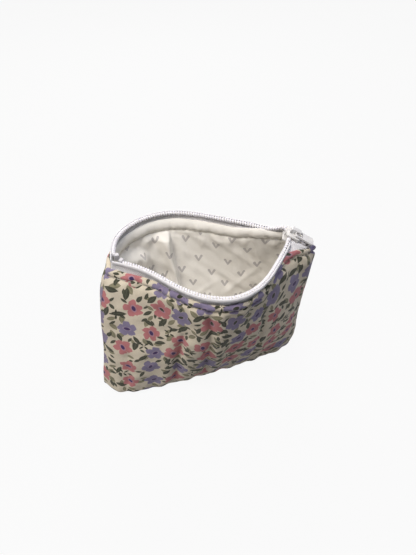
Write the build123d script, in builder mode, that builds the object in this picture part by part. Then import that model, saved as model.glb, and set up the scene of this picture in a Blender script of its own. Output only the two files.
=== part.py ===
from build123d import *
import os
from math import cos, radians, sin, sqrt

os.makedirs("parts", exist_ok=True)

# A small padded cloth pouch that stands on its base with its zip open.
# Millimetres. +X runs along the bottom seam, +Y to the back panel, +Z up; the origin is the
# middle of the base, on the surface that the pouch stands on.

# Bag
pouch_width = 120.0          # along the bottom seam, from side seam to side seam
fold_height = 79.0           # top folded edge of the outer cloth
base_width = 21.0            # across the base, between the two walls
base_rounding = 4.0          # how the walls turn into the base
corner_lift = 4.0            # how far the bottom corners are drawn up from the surface
corner_trim = 4.0            # how much shorter the base is than the bottom seam, at each end
wall_bulge = 4.0             # how far each wall puffs out at half height

# Cloth layers
outer_thickness = 0.6
interfacing_thickness = 0.8
lining_thickness = 0.4
tape_thickness = 0.5
layer_gap = 0.15             # air between two layers of cloth
lining_drop = 1.0            # lining edge below the outer fold
seam_pinch = 1.5             # how much further a layer stops short of a side seam than of a wall

# Zip
tape_width = 11.3            # from its lower edge, inside the wall, to the coil
tape_overlap = 8.0           # part of the tape that lies between the outer cloth and the lining
coil_diameter = 2.0
coil_bore = 0.8
coil_bend = 2.4              # radius of each coil where it enters the slider
cord_clearance = 0.05        # around the filler cord in its coil
lane_gap = 0.1               # between the two coils where the zip is closed
stop_length = 2.0
stop_wall = 0.5
stop_corner = 0.4
stop_setback = 2.4           # from the left side seam to the middle of a top stop
part_gap = 0.1               # between pieces that sit end to end
running_clearance = 0.2      # above and below the coils in the slider
side_clearance = 0.3         # beside the coils in the slider

# Slider and pull
slider_length = 6.8
shoulder_width = 6.4         # across the open end
plate_thickness = 0.8
plate_corner = 0.6
flange_thickness = 0.5
slot_height = 1.0            # slit between the flanges, where the tape passes out
divider_length = 1.9
divider_width = 1.4
divider_lead = 0.1           # divider's tip past the coils' turn, at the end of the travel
flange_lead = 0.5            # start of the flanges past the coils' turn
slider_travel = 2.0          # from rest to the bottom stop
stop_clearance = 0.3         # left between the slider and the bottom stop
travel_clearance = 0.4       # between the moving slider and the tape
cap_length = 5.0
cap_width = 2.4
cap_height = 2.7
cap_wall = 0.6
cap_corner = 0.8
pin_gap = 0.15               # around the pull's pin in the cap
pull_reach = 9.4             # from its hinge line to its tip
pull_width = 4.6
pull_thickness = 0.9
pull_pin_diameter = 1.1
pull_eye_length = 3.4
pull_eye_clearance = 0.3     # beside the cap
pull_corner = 1.1
spring_thickness = 0.25
spring_width = 1.2
prong_length = 0.6
prong_width = 0.6

# Top edge of the cloth, as shares of the pouch's width, from the left side seam to the right.
front_fold = [
    (-0.308, 0.092), (-0.208, 0.012), (-0.133, -0.083), (-0.046, -0.175), (0.067, -0.217),
    (0.183, -0.179), (0.292, -0.108), (0.375, -0.063), (0.4375, -0.0375),
]
back_fold = [
    (-0.308, 0.092), (-0.275, 0.213), (-0.175, 0.292), (-0.05, 0.306), (0.067, 0.258),
    (0.171, 0.188), (0.275, 0.117), (0.375, 0.05), (0.4375, -0.0375),
]
# Where each coil lies above that edge, at the stations that differ from it.
front_rim_end = [(0.271, -0.1), (0.325, -0.05)]
back_rim_end = [(0.271, 0.113), (0.342, 0.042)]
# The slider's middle, above the tapes, and how the closed chain runs down from it to the corner.
slider_place = (0.37, -0.002)
slider_rise = 3.2
chain_heading = -27.0
chain_drop = 28.0

# Where each layer lies: distance of its faces from the tape's middle, outwards positive.
outer_outside = tape_thickness / 2 + layer_gap + outer_thickness
outer_inside = outer_outside - outer_thickness
interfacing_outside = outer_inside - layer_gap
interfacing_inside = interfacing_outside - interfacing_thickness
lining_outside = interfacing_inside - layer_gap
lining_inside = lining_outside - lining_thickness

# Heights of the zip.
tape_bottom = fold_height - tape_overlap
tape_top = tape_bottom + tape_width
coil_level = tape_top + part_gap + coil_diameter / 2
interfacing_top = tape_bottom - part_gap
lining_top = fold_height - lining_drop

# The slider's own frame: x towards the closed end of the zip, y to the back, z out of its cap.
slider_middle = Vector(
    slider_place[0] * pouch_width, slider_place[1] * pouch_width, tape_top + slider_rise
)
slider_plane = Plane(
    origin=slider_middle,
    x_dir=(
        cos(radians(chain_heading)) * cos(radians(chain_drop)),
        sin(radians(chain_heading)) * cos(radians(chain_drop)),
        -sin(radians(chain_drop)),
    ),
    z_dir=(
        cos(radians(chain_heading)) * sin(radians(chain_drop)),
        sin(radians(chain_heading)) * sin(radians(chain_drop)),
        cos(radians(chain_drop)),
    ),
)
channel_height = coil_diameter + 2 * running_clearance
chain_pitch = coil_diameter + lane_gap
chain_length = slider_length / 2 + slider_travel + stop_clearance
channel_half = chain_pitch / 2 + coil_diameter / 2 + side_clearance
tail_width = 2 * (channel_half + flange_thickness)
# The coils turn apart just behind where the divider's tip comes to at the end of the travel.
coil_turn = slider_travel + divider_length - slider_length / 2 - divider_lead
flange_start = coil_turn + flange_lead
flange_length = slider_length / 2 - flange_start

# The point of the closed chain that is just above the tape's top edge.
ridge_drop = slider_rise - (coil_diameter / 2 + part_gap) / cos(radians(chain_drop))
ridge_run = ridge_drop / sin(radians(chain_drop))
ridge_point = slider_middle + slider_plane.x_dir * ridge_run
ridge_end = (ridge_point.X / pouch_width, ridge_point.Y / pouch_width)
front_rim = front_fold[:6] + front_rim_end + [ridge_end]
back_rim = back_fold[:6] + back_rim_end + [ridge_end]


def stations(edge):
    """Share of the edge's length at each of its points."""
    lengths = [0.0]
    for start, end in zip(edge, edge[1:]):
        lengths.append(lengths[-1] + sqrt((end[0] - start[0]) ** 2 + (end[1] - start[1]) ** 2))
    return [length / lengths[-1] for length in lengths]


def set_out(points, side, outwards):
    """The points moved sideways from their line; the two at the side seams move inwards."""
    moved = []
    for before, here, after in zip(points, points[1:], points[2:]):
        heading = (after - before).normalized()
        moved.append(here + Vector(heading.Y, -heading.X) * (-side * outwards))
    chord = (points[-1] - points[0]).normalized()
    pinch = (outer_outside - outwards) * seam_pinch
    return [points[0] + chord * pinch] + moved + [points[-1] - chord * pinch]


def wall_points(edge, side, height, outwards):
    """Plan points of a wall at one height, set outwards from the middle of the tape."""
    inset = outer_outside - outwards
    share = height / fold_height
    lift = min(max(height / corner_lift, 0.0), 1.0)
    half_seam = pouch_width / 2 - corner_trim * (1 - lift) ** 2
    radius = base_rounding - inset
    below = min(max(base_rounding - height, 0.0), radius)
    turn_in = radius - sqrt(radius**2 - below**2)
    puff = wall_bulge * sin(radians(180 * min(share, 1.0)))
    points = []
    for station, spot in zip(stations(edge), edge):
        sweep = 2 * station - 1
        fullness = sqrt(1 - sweep**4)
        foot = Vector(half_seam * sweep, side * (base_width / 2 - turn_in) * fullness)
        rim = Vector(spot[0] * pouch_width, spot[1] * pouch_width)
        points.append(foot * (1 - share) + rim * share + Vector(0, side * puff * fullness))
    return set_out(points, side, outwards)


def rim_points(edge, side, outwards):
    """Plan points of the tape's top edge, set outwards from its middle."""
    points = [Vector(spot[0] * pouch_width, spot[1] * pouch_width) for spot in edge]
    return set_out(points, side, outwards)


def outline(front_points, back_points, height):
    """Closed section of the whole bag at one height."""
    with BuildSketch(Plane.XY.offset(height)) as section:
        with BuildLine():
            Spline(*[(point.X, point.Y) for point in front_points])
            Spline(*[(point.X, point.Y) for point in reversed(back_points)])
        make_face()
    return section.sketch


def wall_section(height, outwards):
    front = wall_points(front_fold, -1, height, outwards)
    back = wall_points(back_fold, 1, height, outwards)
    return outline(front, back, height)


def rim_section(height, outwards):
    front = rim_points(front_rim, -1, outwards)
    back = rim_points(back_rim, 1, outwards)
    return outline(front, back, height)


def bag_sections(outwards, top):
    """Sections from the floor of a layer's face up to its top edge."""
    floor = outer_outside - outwards
    radius = base_rounding - floor
    heights = [floor, floor + 0.13 * radius, floor + 0.5 * radius, base_rounding]
    climb = tape_bottom - base_rounding
    heights += [base_rounding + climb * step for step in (0.08, 0.2, 0.35, 0.52, 0.7, 0.86)]
    heights += [tape_bottom, top] if top > tape_bottom else [top]
    return [wall_section(height, outwards) for height in heights]


def cloth_cup(outside, inside, top):
    """A layer of the bag: what lies between its two faces, open at the top."""
    with BuildPart() as cup:
        loft(sections=bag_sections(outside, top), ruled=True)
        loft(sections=bag_sections(inside, top), ruled=True, mode=Mode.SUBTRACT)
    return cup.part


def front_half(levels):
    """Everything in front of a surface, given its left and right ends in plan at some heights."""
    far = pouch_width
    with BuildPart() as half:
        for height, left, right in levels:
            slope = (right.Y - left.Y) / (right.X - left.X)
            with BuildSketch(Plane.XY.offset(height)):
                with BuildLine():
                    Polyline(
                        (-far, left.Y + slope * (-far - left.X)),
                        (far, right.Y + slope * (far - right.X)),
                        (far, -far),
                        (-far, -far),
                        close=True,
                    )
                make_face()
        loft(ruled=True)
    return half.part


def seam_level(height):
    """Where the two side seams are at one height."""
    share = height / fold_height
    left = Vector(-pouch_width / 2, 0) * (1 - share)
    left += Vector(front_fold[0][0], front_fold[0][1]) * pouch_width * share
    right = Vector(pouch_width / 2, 0) * (1 - share)
    right += Vector(front_fold[-1][0], front_fold[-1][1]) * pouch_width * share
    return height, left, right


# The panels meet at the seams. The tapes, above them, meet under the closed chain.
panel_half = front_half([seam_level(-part_gap), seam_level(fold_height + part_gap)])
chain_level = (
    tape_top,
    Vector(front_rim[0][0], front_rim[0][1]) * pouch_width,
    Vector(ridge_end[0], ridge_end[1]) * pouch_width,
)
tape_half = front_half([seam_level(tape_bottom), seam_level(fold_height), chain_level])


def keep_side(front, side):
    """Keep the front or the back half of the part being built."""
    add(front, mode=Mode.INTERSECT if side < 0 else Mode.SUBTRACT)


# Outer cloth, interfacing and lining: two panels each, sewn at the bottom and the sides.
layers = {
    "outer": cloth_cup(outer_outside, outer_inside, fold_height),
    "interfacing": cloth_cup(interfacing_outside, interfacing_inside, interfacing_top),
    "lining": cloth_cup(lining_outside, lining_inside, lining_top),
}
for side, side_name in ((-1, "front"), (1, "back")):
    for layer_name, cup in layers.items():
        with BuildPart() as panel:
            add(cup)
            keep_side(panel_half, side)
        panel.part.label = f"{side_name}_{layer_name}"
        export_step(panel.part, f"parts/{panel.part.label}.step")

# What the slider sweeps, with room around it, which the tape stays out of.
body_height = channel_height + 2 * plate_thickness
with BuildPart() as slider_room:
    with BuildSketch(slider_plane.offset(-body_height / 2 - travel_clearance)):
        with Locations((slider_travel / 2, 0)):
            Rectangle(
                slider_length + slider_travel + 2 * travel_clearance,
                shoulder_width + 2 * travel_clearance,
            )
    extrude(amount=body_height + 2 * travel_clearance)

# Top stops: small clips on the tape's edge where each coil starts.
stop_width = coil_diameter + 2 * part_gap
stop_height = coil_diameter + 2 * stop_wall
stop_rooms = []
for edge, side, side_name in ((front_rim, -1, "front"), (back_rim, 1, "back")):
    corner, following = rim_points(edge, side, 0)[:2]
    heading = (following - corner).normalized()
    middle = corner + heading * stop_setback
    stop_plane = Plane(
        origin=(middle.X, middle.Y, coil_level - stop_height / 2),
        x_dir=(heading.X, heading.Y, 0),
        z_dir=(0, 0, 1),
    )
    with BuildPart() as top_stop:
        with BuildSketch(stop_plane):
            RectangleRounded(stop_length, stop_width, stop_corner)
        extrude(amount=stop_height)
        fillet(top_stop.faces().sort_by(Axis.Z)[-1].edges(), radius=stop_corner)
    top_stop.part.label = f"{side_name}_top_stop"
    export_step(top_stop.part, f"parts/{top_stop.part.label}.step")
    with BuildPart() as stop_room:
        with BuildSketch(stop_plane.offset(-part_gap)):
            Rectangle(stop_length + 2 * part_gap, stop_width + 2 * part_gap)
        extrude(amount=stop_height)
    stop_rooms.append(stop_room.part)

# Zip tapes: each stands inside its wall and leans up to its coil.
with BuildPart() as tape_loop:
    for outwards, mode in ((tape_thickness / 2, Mode.ADD), (-tape_thickness / 2, Mode.SUBTRACT)):
        sections = [wall_section(tape_bottom, outwards), wall_section(fold_height, outwards)]
        loft(sections=sections + [rim_section(tape_top, outwards)], ruled=True, mode=mode)
    add([slider_room.part] + stop_rooms, mode=Mode.SUBTRACT)
for side, side_name in ((-1, "front"), (1, "back")):
    with BuildPart() as tape:
        add(tape_loop.part)
        keep_side(tape_half, side)
    tape.part.label = f"{side_name}_zip_tape"
    export_step(tape.part, f"parts/{tape.part.label}.step")


def on_slider(forward, sideways, up=0.0):
    """World point given in the slider's own frame."""
    return slider_plane.from_local_coords(Vector(forward, sideways, up))


def coil_route(edge, side):
    """Middle line of one coil: the rim, the turn into the slider and the closed chain."""
    rim = [Vector(p.X, p.Y, coil_level) for p in rim_points(edge, side, 0)]
    start = rim[0] + (rim[1] - rim[0]).normalized() * (stop_setback + stop_length / 2 + part_gap)
    shoulder = side * (shoulder_width / 2 + coil_diameter / 2)
    lane = side * chain_pitch / 2
    route = [start] + rim[1:-2]
    route.append(on_slider(-slider_length / 2 - side_clearance, shoulder))
    route.append(on_slider(coil_turn, lane))
    route.append(on_slider(chain_length, lane))
    return route


def coil_path(route):
    """Straight runs joined by arcs; each arc takes up to 0.45 of the shorter run beside it."""
    radii = []
    for before, corner, after in zip(route, route[1:], route[2:]):
        turn = radians((corner - before).get_angle(after - corner))
        run = min((corner - before).length, (after - corner).length)
        radii.append(0.45 * run / sin(turn / 2) * cos(turn / 2))
    radii[-1] = min(radii[-1], coil_bend)
    with BuildLine() as path:
        FilletPolyline(*route, radius=radii)
    return path.line


def tube_along(path, outer, bore):
    """A round tube, or a rod where the bore is nil, swept along a path."""
    start = Plane(origin=path @ 0, z_dir=path % 0)
    with BuildPart() as tube:
        with BuildSketch(start):
            Circle(outer / 2)
            if bore:
                Circle(bore / 2, mode=Mode.SUBTRACT)
        sweep(path=path)
    return tube.part


# Coils and the filler cords that their loops are sewn round.
for edge, side, side_name in ((front_rim, -1, "front"), (back_rim, 1, "back")):
    path = coil_path(coil_route(edge, side))
    coil = tube_along(path, coil_diameter, coil_bore)
    coil.label = f"{side_name}_coil"
    export_step(coil, f"parts/{coil.label}.step")
    cord = tube_along(path, coil_bore - 2 * cord_clearance, 0)
    cord.label = f"{side_name}_coil_cord"
    export_step(cord, f"parts/{cord.label}.step")
    print(coil.label, "length", round(sum(edge.length for edge in path.edges()), 1))

# Bottom stop: a bar across the ends of both coils.
with BuildPart() as bottom_stop:
    with BuildSketch(slider_plane.offset(-coil_diameter / 2 - stop_wall + part_gap)):
        with Locations((chain_length + part_gap + stop_length / 2, 0)):
            RectangleRounded(stop_length, chain_pitch + coil_diameter, stop_corner)
    extrude(amount=coil_diameter + 2 * stop_wall - part_gap)
bottom_stop.part.label = "bottom_stop"
export_step(bottom_stop.part, "parts/bottom_stop.step")


# Where the pull's pin runs, behind the front arm of the cap.
cap_foot = body_height / 2
cap_inner_height = cap_height - cap_wall
pin_radius = pull_pin_diameter / 2
hinge_forward = cap_length / 2 - cap_wall - pin_gap - pin_radius
hinge_up = cap_foot + pin_gap + pin_radius

# Slider body: two plates joined by the divider, with flanges that hold the coils together.
prong_forward = -cap_length / 2 + cap_wall + part_gap + prong_length / 2
with BuildPart() as slider_body:
    for bottom in (-body_height / 2, channel_height / 2):
        with BuildSketch(slider_plane.offset(bottom)) as plate:
            with BuildLine():
                Polyline(
                    (-slider_length / 2, -shoulder_width / 2),
                    (flange_start, -shoulder_width / 2),
                    (slider_length / 2, -tail_width / 2),
                    (slider_length / 2, tail_width / 2),
                    (flange_start, shoulder_width / 2),
                    (-slider_length / 2, shoulder_width / 2),
                    close=True,
                )
            make_face()
            fillet(plate.vertices(), radius=plate_corner)
        extrude(amount=plate_thickness)
    with BuildSketch(slider_plane.offset(-channel_height / 2)):
        with BuildLine():
            Polyline(
                (-slider_length / 2, -divider_width / 2),
                (-slider_length / 2 + divider_length, 0),
                (-slider_length / 2, divider_width / 2),
                close=True,
            )
        make_face()
    extrude(amount=channel_height)
    for bottom in (-channel_height / 2, slot_height / 2):
        with BuildSketch(slider_plane.offset(bottom)):
            for side in (-1, 1):
                flange_middle = side * (channel_half + flange_thickness / 2)
                with Locations((flange_start + flange_length / 2, flange_middle)):
                    Rectangle(flange_length, flange_thickness)
        extrude(amount=(channel_height - slot_height) / 2)
    with BuildSketch(slider_plane.offset(channel_height / 2)):
        with Locations((prong_forward, 0)):
            Rectangle(prong_length + 2 * part_gap, prong_width + 2 * part_gap)
    extrude(amount=plate_thickness, mode=Mode.SUBTRACT)
slider_body.part.label = "slider_body"
export_step(slider_body.part, "parts/slider_body.step")

# Lock: a leaf spring in the cap, whose prong drops through the top plate.
spring_top = cap_foot + cap_inner_height - part_gap
with BuildPart() as lock_spring:
    with BuildSketch(slider_plane.offset(spring_top - spring_thickness)):
        Rectangle(cap_length - 2 * cap_wall - 2 * part_gap, spring_width)
    extrude(amount=spring_thickness)
    with BuildSketch(slider_plane.offset(channel_height / 2)):
        with Locations((prong_forward, 0)):
            Rectangle(prong_length, prong_width)
    extrude(amount=spring_top - spring_thickness / 2 - channel_height / 2)
lock_spring.part.label = "lock_spring"
export_step(lock_spring.part, "parts/lock_spring.step")

# Cap: a bridge on the top plate, open under its arch.
arch_plane = Plane(
    origin=on_slider(0, cap_width / 2), x_dir=slider_plane.x_dir, z_dir=-slider_plane.y_dir
)
with BuildPart() as slider_cap:
    with BuildSketch(arch_plane) as arch:
        with Locations((0, cap_foot + cap_height / 2)):
            Rectangle(cap_length, cap_height)
        fillet(arch.vertices().sort_by(Axis.Z)[-2:], radius=cap_corner)
        with Locations((0, cap_foot + cap_inner_height / 2)):
            Rectangle(cap_length - 2 * cap_wall, cap_inner_height, mode=Mode.SUBTRACT)
    extrude(amount=cap_width)
slider_cap.part.label = "slider_cap"
export_step(slider_cap.part, "parts/slider_cap.step")

# Pull: a flat tab whose eye goes round the cap's front arm and is closed by a round pin.
pull_plane = Plane(
    origin=on_slider(hinge_forward, 0, hinge_up - pull_thickness / 2),
    x_dir=slider_plane.x_dir,
    z_dir=slider_plane.z_dir,
)
pin_plane = Plane(
    origin=on_slider(hinge_forward, 0, hinge_up), x_dir=slider_plane.x_dir, z_dir=slider_plane.y_dir
)
slider_run = Axis(slider_middle, slider_plane.x_dir)
with BuildPart() as pull_tab:
    with BuildSketch(pull_plane) as tab:
        with Locations((pull_reach / 2, 0)):
            Rectangle(pull_reach, pull_width)
        fillet(tab.vertices().sort_by(slider_run)[-2:], radius=pull_corner)
        with Locations((pull_eye_length / 2, 0)):
            Rectangle(pull_eye_length, cap_width + 2 * pull_eye_clearance, mode=Mode.SUBTRACT)
    extrude(amount=pull_thickness)
    with BuildSketch(pin_plane):
        Circle(pin_radius)
    extrude(amount=pull_width / 2, both=True)
pull_tab.part.label = "pull_tab"
export_step(pull_tab.part, "parts/pull_tab.step")

pull_axis = -slider_plane.y_dir
print("slide axis", slider_run.direction)
print("pull hinge", on_slider(hinge_forward, 0, hinge_up), "axis", pull_axis)
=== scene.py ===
import math

import bpy
import numpy as np
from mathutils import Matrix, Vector


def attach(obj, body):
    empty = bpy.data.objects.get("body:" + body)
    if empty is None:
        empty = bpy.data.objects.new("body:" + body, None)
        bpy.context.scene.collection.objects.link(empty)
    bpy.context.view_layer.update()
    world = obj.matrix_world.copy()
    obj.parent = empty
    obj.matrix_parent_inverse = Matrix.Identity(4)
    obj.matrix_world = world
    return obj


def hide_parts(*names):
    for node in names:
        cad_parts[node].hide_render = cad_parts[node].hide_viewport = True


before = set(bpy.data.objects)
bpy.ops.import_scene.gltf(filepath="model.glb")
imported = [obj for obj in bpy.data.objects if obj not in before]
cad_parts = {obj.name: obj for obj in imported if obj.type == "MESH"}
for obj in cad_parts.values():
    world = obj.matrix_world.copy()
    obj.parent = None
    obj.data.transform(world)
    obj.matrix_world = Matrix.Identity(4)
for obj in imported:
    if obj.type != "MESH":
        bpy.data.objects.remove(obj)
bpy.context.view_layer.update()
bpy.ops.object.select_all(action="DESELECT")

# Camera. It looks down into the open mouth from the front left, close by, through a short lens,
# as when the pouch stands on a table just below the eyes.
AIM = Vector((0.0038, 0.0, 0.0702))
CAMERA_AZIMUTH = math.radians(-17.9)
CAMERA_ELEVATION = math.radians(46.9)
CAMERA_DISTANCE = 0.190
LENS = 26
bpy.ops.object.camera_add()
camera = bpy.context.object
towards_camera = Vector((
    math.sin(CAMERA_AZIMUTH) * math.cos(CAMERA_ELEVATION),
    -math.cos(CAMERA_AZIMUTH) * math.cos(CAMERA_ELEVATION),
    math.sin(CAMERA_ELEVATION),
))
camera.location = AIM + towards_camera * CAMERA_DISTANCE
camera.rotation_mode = "QUATERNION"
camera.rotation_quaternion = (-towards_camera).to_track_quat("-Z", "Y")
camera.data.lens = LENS
camera.data.clip_start = 0.01
camera.data.clip_end = 20
bpy.context.scene.camera = camera
bpy.context.scene.view_settings.view_transform = "Standard"

# Studio. A white table that keeps the pouch's shadow, a white surround, one soft lamp overhead
# to the left, a weaker, cooler one to the right, and one behind that lights the back panel.
TABLE_GREY = (0.30, 0.30, 0.31, 1)
TABLE_WHITENESS = 0.93
SURROUND_WHITE = (0.98, 0.985, 1.0, 1)
SURROUND_LIGHT = 0.05


def new_finish(name, **settings):
    """A new material, its node tree and its surface shader, with the shader's plain settings."""
    finish = bpy.data.materials.new(name)
    finish.use_nodes = True
    shader = finish.node_tree.nodes["Principled BSDF"]
    for setting, value in settings.items():
        shader.inputs[setting.replace("_", " ")].default_value = value
    return finish, finish.node_tree, shader


def join(tree, value, socket):
    """Set a socket from another socket or from a plain value."""
    if isinstance(value, bpy.types.NodeSocket):
        tree.links.new(value, socket)
    else:
        socket.default_value = value


def node(tree, kind, **inputs):
    """A shader node with some inputs set; a name such as in_0 means the first input."""
    made = tree.nodes.new("ShaderNode" + kind)
    for name, value in inputs.items():
        socket = made.inputs[int(name[3:])] if name.startswith("in_") else made.inputs[name]
        join(tree, value, socket)
    return made


def calc(tree, operation, *values):
    """The result of a Math node."""
    made = tree.nodes.new("ShaderNodeMath")
    made.operation = operation
    for value, socket in zip(values, made.inputs):
        join(tree, value, socket)
    return made.outputs[0]


def times(tree, first, second):
    """One value times another."""
    return calc(tree, "MULTIPLY", first, second)


def plus(tree, first, second):
    """One value and another added."""
    return calc(tree, "ADD", first, second)


def minus(tree, first, second):
    """One value less another."""
    return calc(tree, "SUBTRACT", first, second)


def scaled(tree, value, factor, start):
    """A value times a factor, added to a start."""
    return calc(tree, "MULTIPLY_ADD", value, factor, start)


def seen_directly(tree):
    """1 where the camera looks, straight or by way of gloss or glass, and 0 for other light."""
    rays = node(tree, "LightPath")
    seen = calc(tree, "MAXIMUM", rays.outputs["Is Camera Ray"], rays.outputs["Is Glossy Ray"])
    return calc(tree, "MAXIMUM", seen, rays.outputs["Is Transmission Ray"])


bpy.ops.mesh.primitive_plane_add(size=8)
table = bpy.context.object
table.name = "table"
table_paint, tree, shader = new_finish("table_paint", Base_Color=TABLE_GREY, Roughness=0.75)
grain = node(tree, "TexNoise", Scale=90, Detail=4)
grain_bump = node(tree, "Bump", Strength=0.03, Height=grain.outputs["Fac"])
join(tree, grain_bump.outputs[0], shader.inputs["Normal"])
white = node(tree, "Emission", Color=(1, 1, 1, 1), Strength=1.0)
blend = node(tree, "MixShader", in_0=times(tree, seen_directly(tree), TABLE_WHITENESS))
tree.links.new(shader.outputs[0], blend.inputs[1])
tree.links.new(white.outputs[0], blend.inputs[2])
tree.links.new(blend.outputs[0], tree.nodes["Material Output"].inputs["Surface"])
table.data.materials.append(table_paint)

surround = bpy.data.worlds.new("surround")
bpy.context.scene.world = surround
surround.use_nodes = True
tree = surround.node_tree
background = tree.nodes["Background"]
background.inputs["Color"].default_value = SURROUND_WHITE
strength = scaled(tree, seen_directly(tree), 1 - SURROUND_LIGHT, SURROUND_LIGHT)
join(tree, strength, background.inputs["Strength"])


def soft_lamp(name, place, size, watts, colour):
    """A square soft lamp that faces the pouch."""
    bpy.ops.object.light_add(type="AREA", location=place)
    lamp = bpy.context.object
    lamp.name = name
    lamp.data.size = size
    lamp.data.energy = watts
    lamp.data.color = colour
    lamp.rotation_mode = "QUATERNION"
    lamp.rotation_quaternion = (AIM - Vector(place)).to_track_quat("-Z", "Y")


soft_lamp("overhead_lamp", (-0.30, -0.10, 0.78), size=0.32, watts=6.1, colour=(1.0, 0.95, 0.885))
soft_lamp("window_lamp", (0.22, -0.14, 0.76), size=0.30, watts=1.6, colour=(0.84, 0.89, 1.0))
soft_lamp("rear_lamp", (0.10, 0.56, 0.44), size=0.36, watts=2.6, colour=(1.0, 0.97, 0.93))

# Outer cloth. Two panels of printed cotton, sewn together at the sides and the bottom and turned
# in at the top, where a row of topstitching holds them to the zip. The walls stand open, and the
# bottom spreads to a narrow base. Lengths on the cloth are in millimetres.
MM = 0.001
POUCH_WIDTH = 120.0
FOLD_HEIGHT = 79.0
BASE_WIDTH = 21.0
BASE_ROUNDING = 4.0
CORNER_LIFT = 4.0
CORNER_TRIM = 4.0
WALL_BULGE = 4.0
OUTER_FACE = 1.0
SEAM_PINCH = 1.5
BACK_SHIFT = 160.0           # where the back's pieces are cut from the cloth, beyond the front's
OUTER_THICKNESS = 0.3
OUTER_LOWEST = 0.16          # least height of the cloth's middle over the table
OUTER_COLUMNS = 250
FLOOR_ROWS = 12
FOLD_SPACING = 0.34          # between rows near the fold, near the base and on the wall
BASE_SPACING = 0.6
WALL_SPACING = 1.15
FRONT_FOLD = [
    (-0.308, 0.092), (-0.208, 0.012), (-0.133, -0.083), (-0.046, -0.175), (0.067, -0.217),
    (0.183, -0.179), (0.292, -0.108), (0.375, -0.063), (0.4375, -0.0375),
]
BACK_FOLD = [
    (-0.308, 0.092), (-0.275, 0.213), (-0.175, 0.292), (-0.05, 0.306), (0.067, 0.258),
    (0.171, 0.188), (0.275, 0.117), (0.375, 0.05), (0.4375, -0.0375),
]
SIDES = (("front", -1, FRONT_FOLD), ("back", 1, BACK_FOLD))


def run_along(points):
    """Distance of each point of a line from the first, measured along the line."""
    steps = np.linalg.norm(np.diff(points, axis=0), axis=1)
    return np.concatenate([[0.0], np.cumsum(steps)])


def read_at(where, at, values):
    """Points or directions of a line, read at some distances along it."""
    return np.column_stack([np.interp(where, at, values[:, k]) for k in range(3)])


def spline_through(points, shares):
    """Smooth curve through some points, read at shares of its length."""
    points = np.asarray(points, float)
    steps = np.linalg.norm(np.diff(points, axis=0), axis=1)
    at = run_along(points) / steps.sum()
    gaps = np.diff(at)
    count = len(at)
    matrix = np.eye(count)
    right = np.zeros_like(points)
    for i in range(1, count - 1):
        matrix[i, i - 1 : i + 2] = gaps[i - 1], 2 * (gaps[i - 1] + gaps[i]), gaps[i]
        rise = (points[i + 1] - points[i]) / gaps[i] - (points[i] - points[i - 1]) / gaps[i - 1]
        right[i] = 6 * rise
    bends = np.linalg.solve(matrix, right)
    k = np.clip(np.searchsorted(at, shares, side="right") - 1, 0, count - 2)
    a = ((at[k + 1] - shares) / gaps[k])[:, None]
    b = 1 - a
    curve = (a**3 - a) * bends[k] + (b**3 - b) * bends[k + 1]
    return a * points[k] + b * points[k + 1] + curve * (gaps[k] ** 2)[:, None] / 6


def set_out(points, side, outwards):
    """The points moved sideways from their line; the two at the side seams move inwards."""
    heading = points[2:] - points[:-2]
    heading /= np.linalg.norm(heading, axis=1)[:, None]
    moved = points.copy()
    moved[1:-1] += np.stack([heading[:, 1], -heading[:, 0]], 1) * (-side * outwards)
    chord = (points[-1] - points[0]) / np.linalg.norm(points[-1] - points[0])
    pinch = (OUTER_FACE - outwards) * SEAM_PINCH
    moved[0] += chord * pinch
    moved[-1] -= chord * pinch
    return moved


def wall_row(fold, side, height, outwards, shares):
    """Points of a wall at one height, from the left side seam to the right."""
    fold = np.array(fold)
    run = run_along(fold)
    sweep = 2 * run / run[-1] - 1
    fullness = np.sqrt(np.maximum(1 - sweep**4, 0))
    inset = OUTER_FACE - outwards
    share = height / FOLD_HEIGHT
    lift = min(max(height / CORNER_LIFT, 0), 1)
    half_seam = POUCH_WIDTH / 2 - CORNER_TRIM * (1 - lift) ** 2
    radius = BASE_ROUNDING - inset
    below = min(max(BASE_ROUNDING - height, 0), radius)
    turn_in = radius - math.sqrt(radius**2 - below**2)
    foot = np.stack([half_seam * sweep, side * (BASE_WIDTH / 2 - turn_in) * fullness], 1)
    puff = WALL_BULGE * math.sin(math.pi * min(share, 1))
    points = foot * (1 - share) + fold * POUCH_WIDTH * share
    points[:, 1] += side * puff * fullness
    row = spline_through(set_out(points, side, outwards), shares)
    return np.column_stack([row, np.full(len(shares), height)])


def ease(value, low, high):
    """0 below low, 1 above high, smooth between; high may be the lower of the two."""
    t = np.clip((value - low) / (high - low), 0, 1)
    return t * t * (3 - 2 * t)


def bump(distance, width):
    """1 at distance 0, falling smoothly to nothing."""
    return np.exp(-((distance / width) ** 2))


def waves(across, up, size, seed):
    """Smooth unevenness between about -1 and 1, with bumps of about one size."""
    random = np.random.default_rng(seed)
    total = np.zeros_like(across)
    for _ in range(7):
        angle = random.uniform(0, 2 * math.pi)
        length = size * random.uniform(0.7, 1.6)
        phase = random.uniform(0, 2 * math.pi)
        place = across * math.cos(angle) + up * math.sin(angle)
        total += np.sin(2 * math.pi * place / length + phase)
    return total / math.sqrt(7)


def section_line(corners):
    """Heights and offsets along a layer's section, on a smooth line, closer near fold and base."""
    fine = spline_through(corners, np.linspace(0, 1, 2000))
    fine_steps = np.linalg.norm(np.diff(fine, axis=0), axis=1)
    height = fine[:-1, 0]
    spacing = np.where(height > 70, FOLD_SPACING, np.where(height < 6, BASE_SPACING, WALL_SPACING))
    count = np.concatenate([[0.0], np.cumsum(fine_steps / spacing)])
    wanted = np.linspace(0, count[-1], int(count[-1]) + 1)
    at = np.searchsorted(count, wanted).clip(0, len(fine) - 1)
    return fine[at]


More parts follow.
